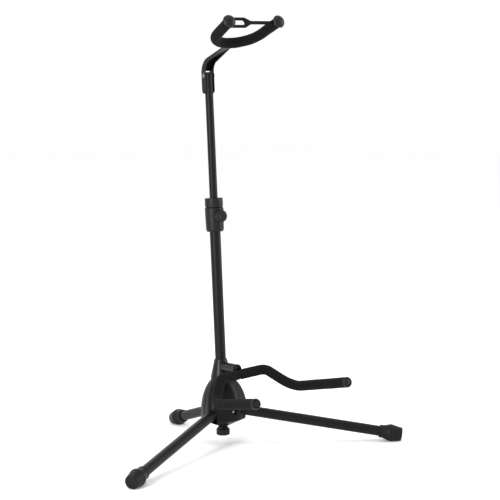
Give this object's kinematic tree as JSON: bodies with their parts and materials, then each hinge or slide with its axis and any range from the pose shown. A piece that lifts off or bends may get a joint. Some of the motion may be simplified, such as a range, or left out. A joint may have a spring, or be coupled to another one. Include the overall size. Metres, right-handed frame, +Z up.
{
  "type": "folding guitar stand",
  "caption": "Folding tripod stand for a guitar, with a telescoping column, a padded swivelling cradle and a padded neck yoke with a rubber retaining strap.",
  "frame": {"origin": "on the floor, at the middle of the part's box seen from above", "axes": "+Z up; the instrument stands on the -Y side, so -Y is the front; +X is to the viewer's right when looking at the front"},
  "size_m": [0.5464, 0.4413, 0.7424],
  "materials": {
    "hub_plastic": "fine-textured moulded plastic, satin",
    "socket_gloss": "glossy black, smooth",
    "tube_paint": "satin black paint on drawn steel tube",
    "rod_paint": "satin black paint on steel rod and sheet",
    "plated_steel": "bright zinc plating",
    "brass": "machined",
    "clamp_plastic": "satin moulded plastic",
    "knob_plastic": "matte moulded plastic",
    "inner_nylon": "plain moulded nylon",
    "foot_rubber": "matte moulded rubber, fine grain on the end",
    "cap_rubber": "soft moulded rubber, slight sheen",
    "strap_rubber": "flexible moulded rubber",
    "sleeve_foam": "closed-cell foam sleeve, matte, fine pores"
  },
  "bodies": {
    "base": {"hub_housing": "hub_plastic", "column_socket": "socket_gloss", "lower_tube": "tube_paint", "leg_pivot_screws": "plated_steel", "cradle_screw": "plated_steel", "clamp_body": "clamp_plastic", "clamp_cap": "clamp_plastic", "clamp_bush": "inner_nylon", "clamp_nut": "brass"},
    "lock_knob": {"lock_knob": "knob_plastic", "lock_screw": "plated_steel", "lock_cone": "plated_steel"},
    "leg_front_right": {"leg_lug_front_right": "inner_nylon", "leg_tube_front_right": "tube_paint", "leg_foot_front_right": "foot_rubber"},
    "leg_front_left": {"leg_lug_front_left": "inner_nylon", "leg_tube_front_left": "tube_paint", "leg_foot_front_left": "foot_rubber"},
    "leg_rear": {"leg_lug_rear": "inner_nylon", "leg_tube_rear": "tube_paint", "leg_foot_rear": "foot_rubber"},
    "mast": {"upper_tube": "tube_paint", "tube_guide": "inner_nylon", "tube_plug": "inner_nylon"},
    "clamp_knob": {"clamp_knob": "knob_plastic", "clamp_screw": "plated_steel"},
    "yoke": {"yoke_bracket": "rod_paint", "yoke_rivet": "plated_steel", "yoke_rod": "rod_paint", "yoke_foam": "sleeve_foam", "yoke_cap_right": "cap_rubber", "yoke_cap_left": "cap_rubber", "yoke_strap": "strap_rubber"},
    "cradle": {"cradle_pivot": "socket_gloss", "cradle_rod": "rod_paint", "cradle_foam_right": "sleeve_foam", "cradle_foam_left": "sleeve_foam", "cradle_cap_right": "cap_rubber", "cradle_cap_left": "cap_rubber"}
  },
  "joints": [
    {"name": "leg_fold_front_right", "type": "hinge", "parent": "base", "child": "leg_front_right", "pos_m": [0.01504, 0.027, 0.06194], "axis": [0.5299, 0.848, 0], "range_deg": [0, 70]},
    {"name": "leg_fold_front_left", "type": "hinge", "parent": "base", "child": "leg_front_left", "pos_m": [-0.01504, 0.027, 0.06194], "axis": [0.5299, -0.848, 0], "range_deg": [0, 70]},
    {"name": "leg_fold_rear", "type": "hinge", "parent": "base", "child": "leg_rear", "pos_m": [0, 0.05355, 0.05953], "axis": [-1, 0, 0], "range_deg": [0, 64]},
    {"name": "lock_knob_turn", "type": "hinge", "parent": "base", "child": "lock_knob", "pos_m": [0, 0.0364, 0.023], "axis": [0, 0, -1], "range_deg": [0, 720]},
    {"name": "mast_slide", "type": "slide", "parent": "base", "child": "mast", "axis": [0, 0.0523, 0.9986], "range_m": [-0.175, 0.07]},
    {"name": "clamp_knob_turn", "type": "hinge", "parent": "base", "child": "clamp_knob", "pos_m": [0, 0.03007, 0.40279], "axis": [0, -0.9986, 0.0523], "range_deg": [0, 540]},
    {"name": "yoke_fold", "type": "hinge", "parent": "mast", "child": "yoke", "pos_m": [0, 0.06675, 0.64421], "axis": [1, 0, 0], "range_deg": [0, 100]},
    {"name": "cradle_swivel", "type": "hinge", "parent": "base", "child": "cradle", "pos_m": [0, 0.04012, 0.1359], "axis": [0, -0.9962, 0.0872], "range_deg": [-94, 86]}
  ]
}
